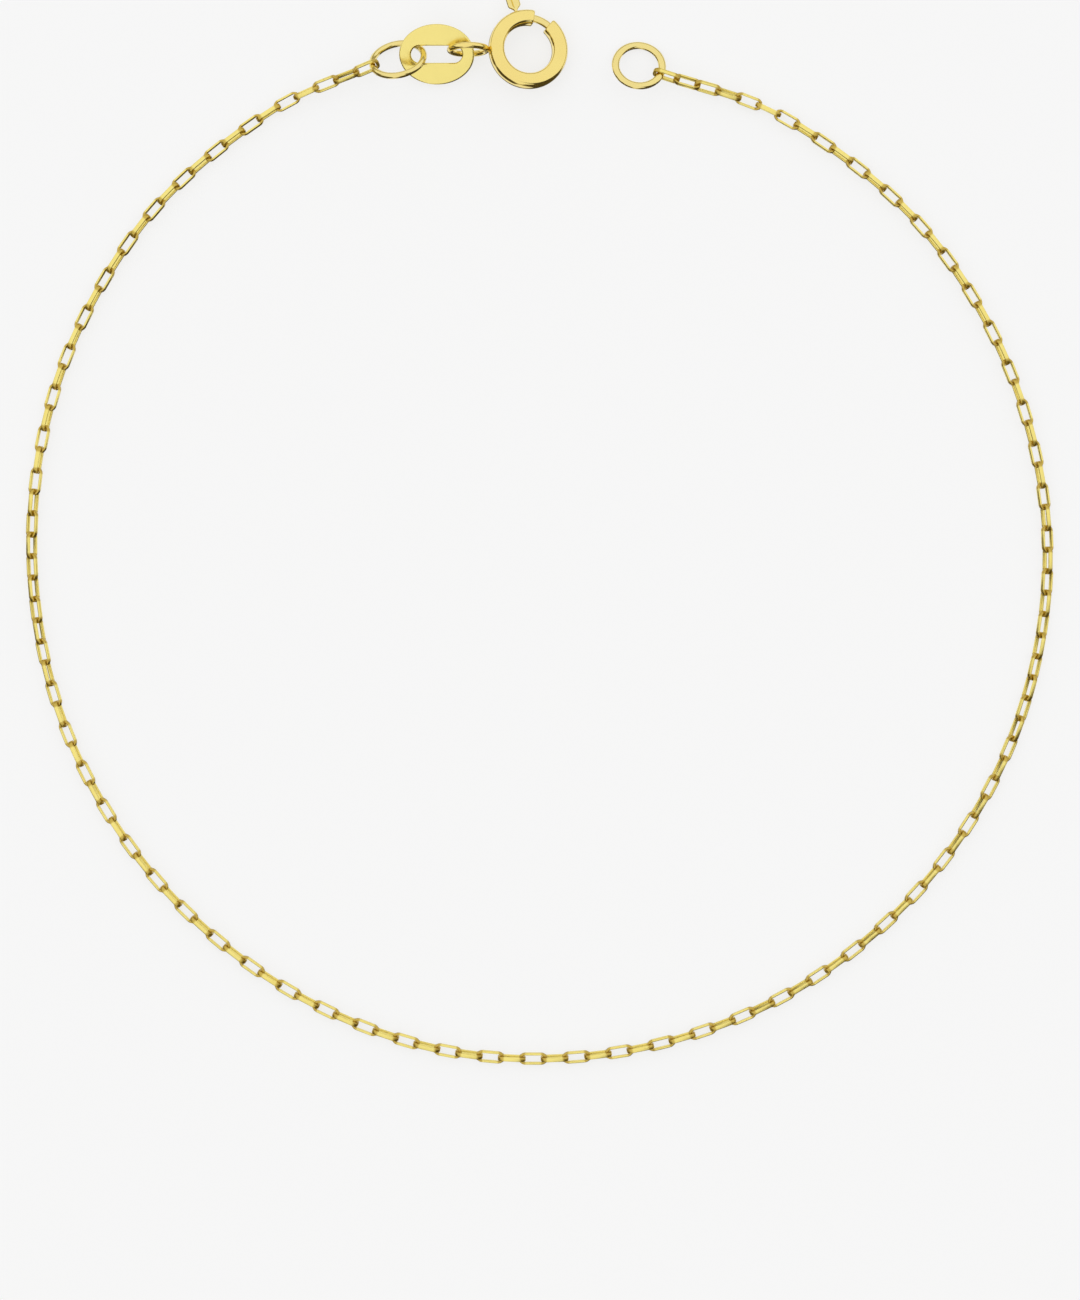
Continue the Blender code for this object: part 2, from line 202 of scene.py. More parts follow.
# Twist of the chain about its own length: share of the links, and the lean of the flat links in degrees
TWIST = (
    (0.00, -42),
    (0.05, 15),
    (0.18, 15),
    (0.23, 38),
    (0.29, 15),
    (0.66, 15),
    (0.74, 38),
    (0.82, 15),
    (0.94, 15),
    (1.00, -60),
)
LIFT_REACH = 7.0 * MM

# Table and light: the side of the table, the tent's brightness, and the table's own glow
TABLE_SIZE = 4.0
TENT_LIGHT = 1.0
TABLE_GLOW = 0.737
# Dark gap between the tent and the lit table, as sines of elevation: its top, its foot and its soft edge
GAP_TOP = 0.04
GAP_FOOT = -0.26
GAP_EDGE = 0.05
# Black cards that widen the gap: azimuth, the cosines from it at which a card starts and is full,
# and how far up and down it reaches
BLACK_CARDS = (
    (302, 0.74, 0.93, 0.36, 0.36),
    (303, 0.86, 0.96, 0.14, 0.50),
    (188, 0.96, 0.995, 0.30, 0.40),
    (228, 0.85, 0.97, 0.38, 0.46),
    (325, 0.90, 0.98, 0.40, 0.45),
)
# Shade of the pieces on the table below them, as the sine of elevation that it reaches up to
SHADE_BELOW = -0.90

# A colour mix's own sockets share their names with its other kinds, so they go by number
FIRST_COLOUR = 6
SECOND_COLOUR = 7
MIXED_COLOUR = 2
# Usual range of a noise texture's values
NOISE_LOW = 0.3
NOISE_HIGH = 0.7


def linear(hex_colour):
    """An sRGB hex colour as linear RGBA."""
    shares = [int(hex_colour[start : start + 2], 16) / 255 for start in (1, 3, 5)]
    return (*[s / 12.92 if s <= 0.04045 else ((s + 0.055) / 1.055) ** 2.4 for s in shares], 1.0)


def add(tree, kind, inputs=None, **settings):
    """Adds one node. An input is given a value, a socket, or a node whose first output it takes."""
    made = tree.nodes.new(kind)
    for name, value in settings.items():
        setattr(made, name, value)
    for name, value in (inputs or {}).items():
        if isinstance(value, bpy.types.Node):
            value = value.outputs[0]
        if isinstance(value, bpy.types.NodeSocket):
            tree.links.new(value, made.inputs[name])
        else:
            made.inputs[name].default_value = value
    return made


def bearing(degrees):
    """Level unit vector at this angle from +X towards +Y."""
    turn = math.radians(degrees)
    return Vector((math.cos(turn), math.sin(turn), 0.0))


def eased(share):
    """A share from 0 to 1 with a soft start and end."""
    return share * share * (3 - 2 * share)


def tilted_frame(centre, axis_bearing, tilt):
    """Matrix of a ring whose axis of tilt lies level along axis_bearing, and whose far side rises."""
    return (
        Matrix.Translation(centre)
        @ Matrix.Rotation(math.radians(axis_bearing), 4, "Z")
        @ Matrix.Rotation(math.radians(tilt), 4, "X")
    )


def middle_of(node):
    """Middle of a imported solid's box."""
    low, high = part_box(node)
    return (low + high) / 2


# Materials


def gold(name, colour, warm, tint_size, gloss, gloss_size, relief, relief_size):
    """585 yellow gold: a tint that drifts a little, a range of gloss, and a shallow relief.

    The real drift, smears and tool marks are finer: each size here is as coarse as it needs to show.
    """
    material = bpy.data.materials.new(name)
    material.use_nodes = True
    tree = material.node_tree
    shader = tree.nodes["Principled BSDF"]
    place = add(tree, "ShaderNodeTexCoord").outputs["Object"]
    drift = add(tree, "ShaderNodeTexNoise", {"Vector": place, "Scale": 1 / tint_size, "Detail": 2.0})
    tint = add(
        tree,
        "ShaderNodeMix",
        {0: drift.outputs["Fac"], FIRST_COLOUR: linear(colour), SECOND_COLOUR: linear(warm)},
        data_type="RGBA",
    )
    smear = add(tree, "ShaderNodeTexNoise", {"Vector": place, "Scale": 1 / gloss_size, "Detail": 3.0})
    least, most = gloss
    rough = add(
        tree,
        "ShaderNodeMapRange",
        {
            "Value": smear.outputs["Fac"],
            "From Min": NOISE_LOW,
            "From Max": NOISE_HIGH,
            "To Min": least,
            "To Max": most,
        },
    )
    grain = add(tree, "ShaderNodeTexNoise", {"Vector": place, "Scale": 1 / relief_size, "Detail": 4.0})
    bump = add(
        tree,
        "ShaderNodeBump",
        {"Height": grain.outputs["Fac"], "Distance": relief, "Strength": 1.0},
    )
    shader.inputs["Metallic"].default_value = 1.0
    tree.links.new(tint.outputs[MIXED_COLOUR], shader.inputs["Base Color"])
    tree.links.new(rough.outputs["Result"], shader.inputs["Roughness"])
    tree.links.new(bump.outputs["Normal"], shader.inputs["Normal"])
    return material


def link_wire_gold():
    """Rolled flat gold wire, tumbled after it is linked: bright on its sides, with soft worn edges, and
    with painted shade in its bows:
    a deeper gold that stands in for the shade and the gold reflections where the bows of linked links
    meet."""
    material = gold(
        "rolled_gold_wire",
        colour="#F9EA90",
        warm="#F5E07C",
        tint_size=1.1 * MM,
        gloss=(0.30, 0.42),
        gloss_size=0.5 * MM,
        relief=0.0010 * MM,
        relief_size=0.12 * MM,
    )
    tree = material.node_tree
    shader = tree.nodes["Principled BSDF"]
    bright = shader.inputs["Base Color"].links[0].from_socket
    # Painted shade: towards the bows the colour goes to a deeper gold, standing in for the shade and gold
    # reflections between linked bows
    along = add(tree, "ShaderNodeAttribute", attribute_name="along_link").outputs["Fac"]
    reach = add(tree, "ShaderNodeMath", {0: along}, operation="ABSOLUTE")
    bow = add(
        tree,
        "ShaderNodeMapRange",
        {"Value": reach, "From Min": BOW_SHADE_FROM, "From Max": BOW_SHADE_TO, "To Max": BOW_SHADE},
        interpolation_type="SMOOTHSTEP",
    )
    painted_bow_shade = add(
        tree,
        "ShaderNodeMix",
        {0: bow, FIRST_COLOUR: bright, SECOND_COLOUR: linear("#C0A042")},
        data_type="RGBA",
    )
    tree.links.new(painted_bow_shade.outputs[MIXED_COLOUR], shader.inputs["Base Color"])
    return material


def round_wire_gold():
    """Drawn round gold wire, tumbled: bright, with a soft unevenness along it."""
    return gold(
        "tumbled_gold_wire",
        colour="#F2E296",
        warm="#EBD486",
        tint_size=1.5 * MM,
        gloss=(0.06, 0.16),
        gloss_size=0.6 * MM,
        relief=0.0015 * MM,
        relief_size=0.3 * MM,
    )


def tube_gold():
    """Rolled gold tube, buffed: a broad clear shine with faint buffing marks."""
    return gold(
        "buffed_gold_tube",
        colour="#F5E18B",
        warm="#F1D884",
        tint_size=1.3 * MM,
        gloss=(0.07, 0.15),
        gloss_size=0.7 * MM,
        relief=0.0012 * MM,
        relief_size=0.4 * MM,
    )


def sheet_gold():
    """Stamped gold sheet, lightly polished: an even pale glow, and a clean line round the rim."""
    return gold(
        "polished_gold_sheet",
        colour="#F6E38A",
        warm="#F1E088",
        tint_size=2.0 * MM,
        gloss=(0.14, 0.24),
        gloss_size=0.6 * MM,
        relief=0.001 * MM,
        relief_size=0.05 * MM,
    )


def lit_acrylic():
    """White acrylic of a light table: it glows, so shadows on it stay faint. Its own colour is set low,
    because the glow makes up most of its white."""
    material = bpy.data.materials.new("lit_white_acrylic")
    material.use_nodes = True
    shader = material.node_tree.nodes["Principled BSDF"]
    shader.inputs["Base Color"].default_value = linear("#808080")
    shader.inputs["Roughness"].default_value = 1.0
    shader.inputs["Specular IOR Level"].default_value = 0.0
    shader.inputs["Emission Color"].default_value = linear("#FFFFFF")
    shader.inputs["Emission Strength"].default_value = TABLE_GLOW
    return material


# Geometry Nodes


def new_tree(name, inputs):
    """Geometry Nodes tree with a geometry and these named inputs; returns it and its inputs' sockets."""
    tree = bpy.data.node_groups.new(name, "GeometryNodeTree")
    tree.interface.new_socket("Geometry", in_out="INPUT", socket_type="NodeSocketGeometry")
    for label, kind in inputs.items():
        tree.interface.new_socket(label, in_out="INPUT", socket_type=f"NodeSocket{kind}")
    tree.interface.new_socket("Geometry", in_out="OUTPUT", socket_type="NodeSocketGeometry")
    return tree, add(tree, "NodeGroupInput").outputs


def close_tree(tree, geometry, material):
    """Ends a tree: real geometry, its material, and the output."""
    real = add(tree, "GeometryNodeRealizeInstances", {"Geometry": geometry})
    painted = add(tree, "GeometryNodeSetMaterial", {"Geometry": real, "Material": material})
    add(tree, "NodeGroupOutput", {"Geometry": painted})


def placed(name, mesh):
    """An object at the origin that shows this mesh."""
    piece = bpy.data.objects.new(name, mesh)
    bpy.context.scene.collection.objects.link(piece)
    return piece


def evaluated_mesh(piece):
    """Plain mesh of what an object's modifiers or curve make."""
    graph = bpy.context.evaluated_depsgraph_get()
    return bpy.data.meshes.new_from_object(piece.evaluated_get(graph))


def grown(name, tree, values, seed_mesh=None):
    """What the tree makes from a mesh and its named inputs, as a plain mesh object at the origin."""
    piece = placed(name, seed_mesh or bpy.data.meshes.new(name))
    modifier = piece.modifiers.new("shape", "NODES")
    modifier.node_group = tree
    for socket in tree.interface.items_tree:
        if socket.in_out == "INPUT" and socket.name in values:
            modifier[socket.identifier] = values[socket.name]
    piece.data = evaluated_mesh(piece)
    piece.modifiers.clear()
    return piece


def link_wire(tree, given):
    """The closed loop of one link's flat wire, before its bows are thickened."""
    length = add(tree, "ShaderNodeMath", {0: given["Inside Length"], 1: given["Wire"]}, operation="ADD")
    width = add(tree, "ShaderNodeMath", {0: given["Link Width"], 1: given["Wire"]}, operation="SUBTRACT")
    bend = add(tree, "GeometryNodeCurvePrimitiveQuadrilateral", {"Width": length, "Height": width})
    bend = add(
        tree,
        "GeometryNodeFilletCurve",
        {"Curve": bend, "Radius": given["Corner"], "Count": LINK_CORNER_STEPS, "Limit Radius": True},
        mode="POLY",
    )
    section = add(
        tree,
        "GeometryNodeCurvePrimitiveQuadrilateral",
        {"Width": given["Wire"], "Height": given["Band"]},
    )
    section = add(
        tree,
        "GeometryNodeFilletCurve",
        {"Curve": section, "Radius": given["Edge"], "Count": LINK_EDGE_STEPS, "Limit Radius": True},
        mode="POLY",
    )
    return add(tree, "GeometryNodeCurveToMesh", {"Curve": bend, "Profile Curve": section})


def chain_tree():
    """A link of flat wire on every point, turned by the point's own rotation and a small random roll."""
    sizes = ("Inside Length", "Link Width", "Wire", "Bow", "Band", "Corner", "Edge", "Roll")
    kinds = {**dict.fromkeys(sizes, "Float"), "Seed": "Int", "Material": "Material"}
    tree, given = new_tree("linked_chain", kinds)
    wire = link_wire(tree, given)
    place = add(tree, "GeometryNodeInputPosition")
    along = add(tree, "ShaderNodeSeparateXYZ", {0: place}).outputs["X"]
    reach = add(tree, "ShaderNodeMath", {0: along}, operation="ABSOLUTE")
    bow_start = add(tree, "ShaderNodeMath", {0: given["Inside Length"], 1: 0.5}, operation="MULTIPLY")
    past = add(tree, "ShaderNodeMath", {0: reach, 1: bow_start}, operation="SUBTRACT")
    past = add(tree, "ShaderNodeMath", {0: past, 1: 0.0}, operation="MAXIMUM")
    growth = add(tree, "ShaderNodeMath", {0: given["Bow"], 1: given["Wire"]}, operation="DIVIDE")
    growth = add(tree, "ShaderNodeMath", {0: growth, 1: 1.0}, operation="SUBTRACT")
    longer = add(tree, "ShaderNodeMath", {0: past, 1: growth}, operation="MULTIPLY")
    end = add(tree, "ShaderNodeMath", {0: along}, operation="SIGN")
    shift = add(tree, "ShaderNodeMath", {0: longer, 1: end}, operation="MULTIPLY")
    outward = add(tree, "ShaderNodeCombineXYZ", {"X": shift})
    link = add(tree, "GeometryNodeSetPosition", {"Geometry": wire, "Offset": outward})
    # Distance along the link, which the wire's material reads for its painted bow shade
    link = add(
        tree,
        "GeometryNodeStoreNamedAttribute",
        {"Geometry": link, "Name": "along_link", "Value": along},
        data_type="FLOAT",
    )
    turn = add(tree, "GeometryNodeInputNamedAttribute", {"Name": "turn"}, data_type="QUATERNION")
    links = add(
        tree,
        "GeometryNodeInstanceOnPoints",
        {"Points": given["Geometry"], "Instance": link, "Rotation": turn.outputs["Attribute"]},
    )
    least = add(tree, "ShaderNodeMath", {0: given["Roll"], 1: -1.0}, operation="MULTIPLY")
    # Inputs 2 and 3 and output 1 are the plain numbers of a random value
    roll = add(
        tree,
        "FunctionNodeRandomValue",
        {2: least, 3: given["Roll"], "Seed": given["Seed"]},
        data_type="FLOAT",
    )
    spin = add(tree, "ShaderNodeCombineXYZ", {"X": roll.outputs[1]})
    rolled = add(
        tree,
        "GeometryNodeRotateInstances",
        {"Instances": links, "Rotation": spin, "Local Space": True},
    )
    close_tree(tree, rolled, given["Material"])
    return tree


def ring_tree():
    """A closed ring of round wire with the fine groove of its soldered joint, whose angle and reach are
    in radians round the ring."""
    sizes = ("Diameter", "Wire", "Joint Angle", "Joint Reach", "Joint Depth")
    kinds = {**dict.fromkeys(sizes, "Float"), "Steps": "Int", "Sides": "Int", "Material": "Material"}
    tree, given = new_tree("wire_ring", kinds)
    across = add(tree, "ShaderNodeMath", {0: given["Diameter"], 1: given["Wire"]}, operation="SUBTRACT")
    radius = add(tree, "ShaderNodeMath", {0: across, 1: 0.5}, operation="MULTIPLY")
    line = add(tree, "GeometryNodeCurvePrimitiveCircle", {"Resolution": given["Steps"], "Radius": radius})
    thin = add(tree, "ShaderNodeMath", {0: given["Wire"], 1: 0.5}, operation="MULTIPLY")
    section = add(tree, "GeometryNodeCurvePrimitiveCircle", {"Resolution": given["Sides"], "Radius": thin})
    wire = add(tree, "GeometryNodeCurveToMesh", {"Curve": line, "Profile Curve": section})
    place = add(tree, "GeometryNodeInputPosition")
    spot = add(tree, "ShaderNodeSeparateXYZ", {0: place}).outputs
    angle = add(tree, "ShaderNodeMath", {0: spot["Y"], 1: spot["X"]}, operation="ARCTAN2")
    off = add(tree, "ShaderNodeMath", {0: angle, 1: given["Joint Angle"]}, operation="SUBTRACT")
    off = add(tree, "ShaderNodeMath", {0: off}, operation="ABSOLUTE")
    depth = add(
        tree,
        "ShaderNodeMapRange",
        {"Value": off, "From Min": 0.0, "From Max": given["Joint Reach"], "To Min": 1.0, "To Max": 0.0},
        interpolation_type="SMOOTHSTEP",
    )
    sunk = add(tree, "ShaderNodeMath", {0: depth, 1: given["Joint Depth"]}, operation="MULTIPLY")
    sunk = add(tree, "ShaderNodeMath", {0: sunk, 1: -1.0}, operation="MULTIPLY")
    normal = add(tree, "GeometryNodeInputNormal")
    inward = add(tree, "ShaderNodeVectorMath", {0: normal, "Scale": sunk}, operation="SCALE")
    joined = add(tree, "GeometryNodeSetPosition", {"Geometry": wire, "Offset": inward})
    close_tree(tree, joined, given["Material"])
    return tree


# Shapes made as meshes


def outline_plate(name, outlines, thickness, edge, matrix):
    """A plate with rounded edges from closed outlines: the first is its rim, the others are holes."""
    curve = bpy.data.curves.new(name, "CURVE")
    curve.dimensions = "2D"
    curve.fill_mode = "BOTH"
    curve.extrude = thickness / 2 - edge
    curve.bevel_depth = edge
    curve.bevel_resolution = EDGE_STEPS
    curve.offset = -edge
    for outline in outlines:
        spline = curve.splines.new("POLY")
        spline.points.add(len(outline) - 1)
        for point, (x, y) in zip(spline.points, outline):
            point.co = (x, y, 0.0, 1.0)
        spline.use_cyclic_u = True
    drawn = placed(name, curve)
    mesh = evaluated_mesh(drawn)
    bpy.data.objects.remove(drawn, do_unlink=True)
    work = bmesh.new()
    work.from_mesh(mesh)
    bmesh.ops.remove_doubles(work, verts=work.verts, dist=edge * MERGE_SHARE)
    bmesh.ops.recalc_face_normals(work, faces=work.faces)
    work.to_mesh(mesh)
    work.free()
    mesh.transform(matrix)
    return placed(name, mesh)


def oval(length, width, count):
    """Points round an oval, its length along X."""
    turns = [2 * math.pi * step / count for step in range(count)]
    return [(length / 2 * math.cos(turn), width / 2 * math.sin(turn)) for turn in turns]


def stadium(length, width, points_per_end):
    """Points round a slot with round ends, its length along X."""
    points = []
    for side, first in ((1, -90), (-1, 90)):
        for step in range(points_per_end):
            turn = math.radians(first + 180 * step / (points_per_end - 1))
            x = side * (length - width) / 2 + width / 2 * math.cos(turn)
            points.append((x, width / 2 * math.sin(turn)))
    return points


def net_mesh(name, rows, matrix, closed=False):
    """A net of points, each row a closed loop, joined in order: round to the first row, or capped."""
    work = bmesh.new()
    net = [[work.verts.new(point) for point in row] for row in rows]
    following_rows = net[1:] + net[:1] if closed else net[1:]
    for row, following in zip(net, following_rows):
        corners = zip(row, row[1:] + row[:1], following[1:] + following[:1], following)
        for corner in corners:
            work.faces.new(corner)
    if not closed:
        work.faces.new(net[0][::-1])
        work.faces.new(net[-1])
    bmesh.ops.recalc_face_normals(work, faces=work.faces)
    mesh = bpy.data.meshes.new(name)
    work.to_mesh(mesh)
    work.free()
    mesh.transform(matrix)
    return placed(name, mesh)


def section_at(angle, wide, high, sides, power=ROUND):
    """Loop of points round the clasp's line at this angle; the higher the power, the flatter its sides."""
    out = bearing(angle)
    points = []
    for step in range(sides):
        turn = 2 * math.pi * step / sides
        across = math.copysign(abs(math.cos(turn)) ** (2 / power), math.cos(turn)) * wide / 2
        up = math.copysign(abs(math.sin(turn)) ** (2 / power), math.sin(turn)) * high / 2
        points.append(out * (CLASP_RADIUS + across) + Vector((0, 0, up)))
    return points


def cut(target, tool):
    """Takes the tool's shape out of the target's mesh."""
    modifier = target.modifiers.new("cut", "BOOLEAN")
    modifier.operation = "DIFFERENCE"
    modifier.solver = "EXACT"
    modifier.object = tool
    target.data = evaluated_mesh(target)
    target.modifiers.clear()
    bpy.data.objects.remove(tool, do_unlink=True)


# Pieces


def dressed(piece, material, body, node, crease=CREASE):
    """Smooth shading, one material, and what the piece rides on and stands for."""
    piece.data.materials.clear()
    piece.data.materials.append(material)
    piece.data.shade_smooth()
    piece.data.set_sharp_from_angle(angle=math.radians(crease))
    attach(piece, body)
    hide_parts(node)


def lean_at(share):
    """Lean of the flat links, from the twist table with eased steps."""
    for (here, lean), (there, next_lean) in zip(TWIST, TWIST[1:]):
        if share <= there:
            return lean + (next_lean - lean) * eased((share - here) / (there - here))
    return TWIST[-1][1]


def resting_height(lean):
    """Height of the chain's line where links of this lean lie on the surface."""
    turn = math.radians(abs(lean))
    return LINK_WIDTH / 2 * math.cos(turn) + LINK_BAND / 2 * math.sin(turn)


def lifted(height, distance, end_height):
    """Height near an end of the chain, where the ring holds the links up."""
    part = min(max(1 - distance / LIFT_REACH, 0.0), 1.0)
    return height + (end_height - height) * eased(part)


def smooth_path(points):
    """Points along a Catmull-Rom curve through the given points, and the distance to each."""
    ends = [2 * points[0] - points[1], *points, 2 * points[-1] - points[-2]]
    path = []
    for before, start, end, after in zip(ends, ends[1:], ends[2:], ends[3:]):
        for step in range(ROUTE_STEPS):
            t = step / ROUTE_STEPS
            bend = (2 * before - 5 * start + 4 * end - after) * t * t
            bend += (3 * start - before - 3 * end + after) * t**3
            path.append(0.5 * (2 * start + (end - before) * t + bend))
    path.append(points[-1])
    path = np.array(path)
    steps = np.linalg.norm(np.diff(path, axis=0), axis=1)
    return path, np.concatenate([[0.0], np.cumsum(steps)])


def chain_frames(loop_middle, start, end_height):
    """Matrix of each link, and the number of the middle one."""
    route = [start.xy, *((loop_middle + bearing(angle) * far).xy for angle, far in ROUTE)]
    path, distances = smooth_path([np.array(point) for point in route])
    pitch = LINK_LENGTH - 2 * LINK_BOW + SOLDER_BITE
    first = LINK_LENGTH / 2 - LINK_BOW - JUMP_WIRE / 2 - RING_CLEARANCE
    last = LINK_LENGTH / 2 - LINK_BOW - END_WIRE / 2 - RING_CLEARANCE
    pairs = round((distances[-1] - first - last - pitch) / (2 * pitch))
    count = 2 * pairs + 1
    middle = count // 2
    spots = [first + pitch * index + HALVES_GAP * (index > middle) for index in range(count)]
    length = spots[-1] + last

    def place(distance):
        height = resting_height(lean_at(distance / length))
        height = lifted(height, distance, start.z)
        height = lifted(height, length - distance, end_height)
        x = np.interp(distance, distances, path[:, 0])
        y = np.interp(distance, distances, path[:, 1])
        return Vector((x, y, height))

    frames = []
    for index, spot in enumerate(spots):
        along = (place(spot + pitch / 4) - place(spot - pitch / 4)).normalized()
        outward = along.cross(Vector((0, 0, 1))).normalized()
        upright = outward.cross(along)
        lean = math.radians(lean_at(spot / length) + 90 * (index % 2))
        normal = upright * math.cos(lean) + outward * math.sin(lean)
        turn = Matrix((along, normal.cross(along), normal)).transposed().to_4x4()
        frames.append(Matrix.Translation(place(spot)) @ turn)
    return frames, middle


def chain_half(name, frames, tree, material):
    """One half of the chain, grown from a point with a rotation for each link."""
    points = bpy.data.meshes.new(f"{name}_points")
    points.from_pydata([link.translation for link in frames], [], [])
    turns = points.attributes.new("turn", "QUATERNION", "POINT")
    turns.data.foreach_set("value", [part for link in frames for part in link.to_quaternion()])
    values = {
        "Inside Length": LINK_LENGTH - 2 * LINK_BOW,
        "Link Width": LINK_WIDTH,
        "Wire": LINK_WIRE,
        "Bow": LINK_BOW,
        "Band": LINK_BAND,
        "Corner": LINK_CORNER,
        "Edge": LINK_EDGE,
        "Roll": math.radians(LINK_ROLL),
        "Seed": CHAIN_SEED,
        "Material": material,
    }
    piece = grown(f"{name}_links", tree, values, points)
    dressed(piece, material, "root", name)


def make_chain(loop_middle, jump_middle, end_middle):
    """Both halves of the chain, from the jump ring round to the end ring."""
    start = jump_middle - bearing(JUMP_BEARING) * (JUMP_DIAMETER - JUMP_WIRE) / 2
    rise = (END_DIAMETER - END_WIRE) / 2 * math.sin(math.radians(END_LINK_BEARING))
    end_height = end_middle.z + rise * math.sin(math.radians(END_TILT))
    frames, middle = chain_frames(loop_middle, start, end_height)
    tree = chain_tree()
    wire = link_wire_gold()
    chain_half("chain_left", frames[: middle + 1], tree, wire)
    chain_half("chain_right", frames[middle + 1 :], tree, wire)


def wire_ring(name, tree, diameter, wire, height, joint, matrix, material):
    """A ring of wire in its place. Its height is the wire's own along the ring's axis."""
    values = {
        "Diameter": diameter,
        "Wire": wire,
        "Joint Angle": math.radians(joint),
        "Joint Reach": JOINT_REACH / (diameter / 2),
        "Joint Depth": JOINT_DEEP,
        "Steps": RING_STEPS,
        "Sides": RING_SIDES,
        "Material": material,
    }
    piece = grown(name, tree, values)
    piece.data.transform(matrix @ Matrix.Diagonal((1.0, 1.0, height / wire, 1.0)))
    return piece


def make_rings(tree, jump_middle, end_middle):
    """The jump ring and the end ring."""
    material = round_wire_gold()
    place = tilted_frame(jump_middle, JUMP_BEARING + 180, JUMP_TILT)
    sizes = (JUMP_DIAMETER, JUMP_WIRE, JUMP_WIRE, JUMP_JOINT)
    ring = wire_ring("jump_ring_wire", tree, *sizes, place, material)
    dressed(ring, material, "root", "jump_ring")
    place = tilted_frame(end_middle, END_BEARING, END_TILT)
    sizes = (END_DIAMETER, END_WIRE, END_HEIGHT, END_JOINT)
    ring = wire_ring("end_ring_wire", tree, *sizes, place, material)
    dressed(ring, material, "root", "end_ring")


def make_tag():
    """The flat oval tag with its slot."""
    place = Matrix.Translation(middle_of("tag")) @ Matrix.Rotation(math.radians(TAG_TILT), 4, "X")
    outlines = (oval(TAG_LENGTH, TAG_WIDTH, TAG_STEPS), stadium(SLOT_LENGTH, SLOT_WIDTH, SLOT_STEPS))
    tag = outline_plate("tag_plate", outlines, TAG_THICKNESS, TAG_EDGE, place)
    dressed(tag, sheet_gold(), "root", "tag")


def clasp_matrix():
    """Place of the clasp's middle, with its own X level along +X before the tilt."""
    centre = Vector(frame["joints"][0]["pos_m"])
    axis = CLASP_RAISED_BEARING - 90
    return tilted_frame(centre, axis, CLASP_TILT) @ Matrix.Rotation(math.radians(-axis), 4, "Z")


def hollow_tube(name, matrix):
    """The clasp's tube: its outside and one rounded lip, its bore, and the other lip, in one loop."""
    reach = math.degrees(TUBE_LIP / CLASP_RADIUS)
    angles = list(np.linspace(TUBE_FROM + reach, TUBE_TO - reach, TUBE_STEPS))
    lip = [
        (reach * (1 - math.sin(math.radians(turn))), TUBE_LIP * (1 - math.cos(math.radians(turn))))
        for turn in LIP_TURNS
    ]
    outside = [(angle, 0.0) for angle in angles]
    outside += [(TUBE_TO - short, sunk) for short, sunk in lip]
    far_lip = [(TUBE_FROM + short, sunk) for short, sunk in lip[::-1]]
    inside = [TUBE_TO, *angles[::-1], TUBE_FROM]
    rows = [
        section_at(angle, TUBE_WIDE - 2 * sunk, TUBE_HIGH - 2 * sunk, TUBE_SIDES, SQUARISH)
        for angle, sunk in outside + far_lip
    ]
    bore = [section_at(angle, TUBE_BORE, TUBE_BORE, TUBE_SIDES) for angle in inside]
    return net_mesh(name, rows[: len(outside)] + bore + rows[len(outside) :], matrix, closed=True)


def lever_track(matrix):
    """The room that the lever slides in, to be cut from the outer side of the tube."""
    spare = math.degrees((LEVER_STEM / 2 + LEVER_CLEARANCE) / CLASP_RADIUS)
    turns = np.linspace(LEVER_ANGLE - spare, LEVER_ANGLE + LEVER_TRAVEL + spare, TRACK_STEPS)
    near = [tuple(bearing(turn).xy * CLASP_RADIUS) for turn in turns]
    far = [tuple(bearing(turn).xy * (CLASP_RADIUS + TUBE_WIDE)) for turn in turns]
    high = LEVER_THICKNESS + 2 * LEVER_CLEARANCE
    return outline_plate("lever_track", [far + near[::-1]], high, high * TRACK_EDGE_SHARE, matrix)


def make_clasp_body(tree, matrix):
    """Hollow tube with its lever track, and the eye soldered to it."""
    material = tube_gold()
    tube = hollow_tube("clasp_tube", matrix)
    cut(tube, lever_track(matrix))
    dressed(tube, material, "root", "clasp_body")
    reach = CLASP_RADIUS + TUBE_HIGH / 2 + EYE_DIAMETER / 2 - EYE_BITE
    centre = matrix.translation + bearing(EYE_BEARING) * reach
    centre.z = (EYE_DIAMETER - EYE_WIRE) / 2 * math.sin(math.radians(EYE_TILT)) + EYE_WIRE / 2
    place = tilted_frame(centre, EYE_BEARING - 180, EYE_TILT)
    sizes = (EYE_DIAMETER, EYE_WIRE, EYE_WIRE, EYE_JOINT)
    eye = wire_ring("clasp_eye", tree, *sizes, place, material)
    dressed(eye, material, "root", "clasp_body")


def lever_stations():
    """Along the lever from its foot: distance out, half its width and depth, and depth of its groove."""
    neck = CLASP_RADIUS + TUBE_HIGH / 2
    stem = (LEVER_STEM / 2, LEVER_THICKNESS / 2)
    lobes = (LEVER_TIP / 2, LEVER_LOBES / 2)
    stations = [(CLASP_RADIUS, *stem, 0.0), (neck, *stem, 0.0)]
    for part in np.linspace(LEVER_FIRST_STEP, 1.0, LEVER_STEPS):
        opened = eased(min(part / LEVER_FLARE, 1.0))
        half, deep = (thin + (full - thin) * opened for thin, full in zip(stem, lobes))
        stations.append((neck + (LEVER_STANDS - LEVER_ROUND) * part, half, deep, LEVER_GROOVE * opened))
    tip = stations[-1][0]
    for turn in LEVER_ROUND_TURNS:
        far = tip + LEVER_ROUND * math.sin(math.radians(turn))
        inset = LEVER_ROUND * (1 - math.cos(math.radians(turn)))
        stations.append((far, lobes[0] - inset, lobes[1] - inset, LEVER_GROOVE))
    return stations


def lever_rows():
    """Sections of the thumb lever: each an oval, pinched in its middle by the groove."""
    rows = []
    for far, half, deep, groove in lever_stations():
        row = []
        for turn in np.linspace(0, 360, LEVER_SIDES, endpoint=False):
            across = math.cos(math.radians(turn))
            dip = 1 - groove * math.exp(-((across / LEVER_GROOVE_WIDE) ** 2))
            row.append(Vector((far, half * across, deep * math.sin(math.radians(turn)) * dip)))
        rows.append(row)
    return rows


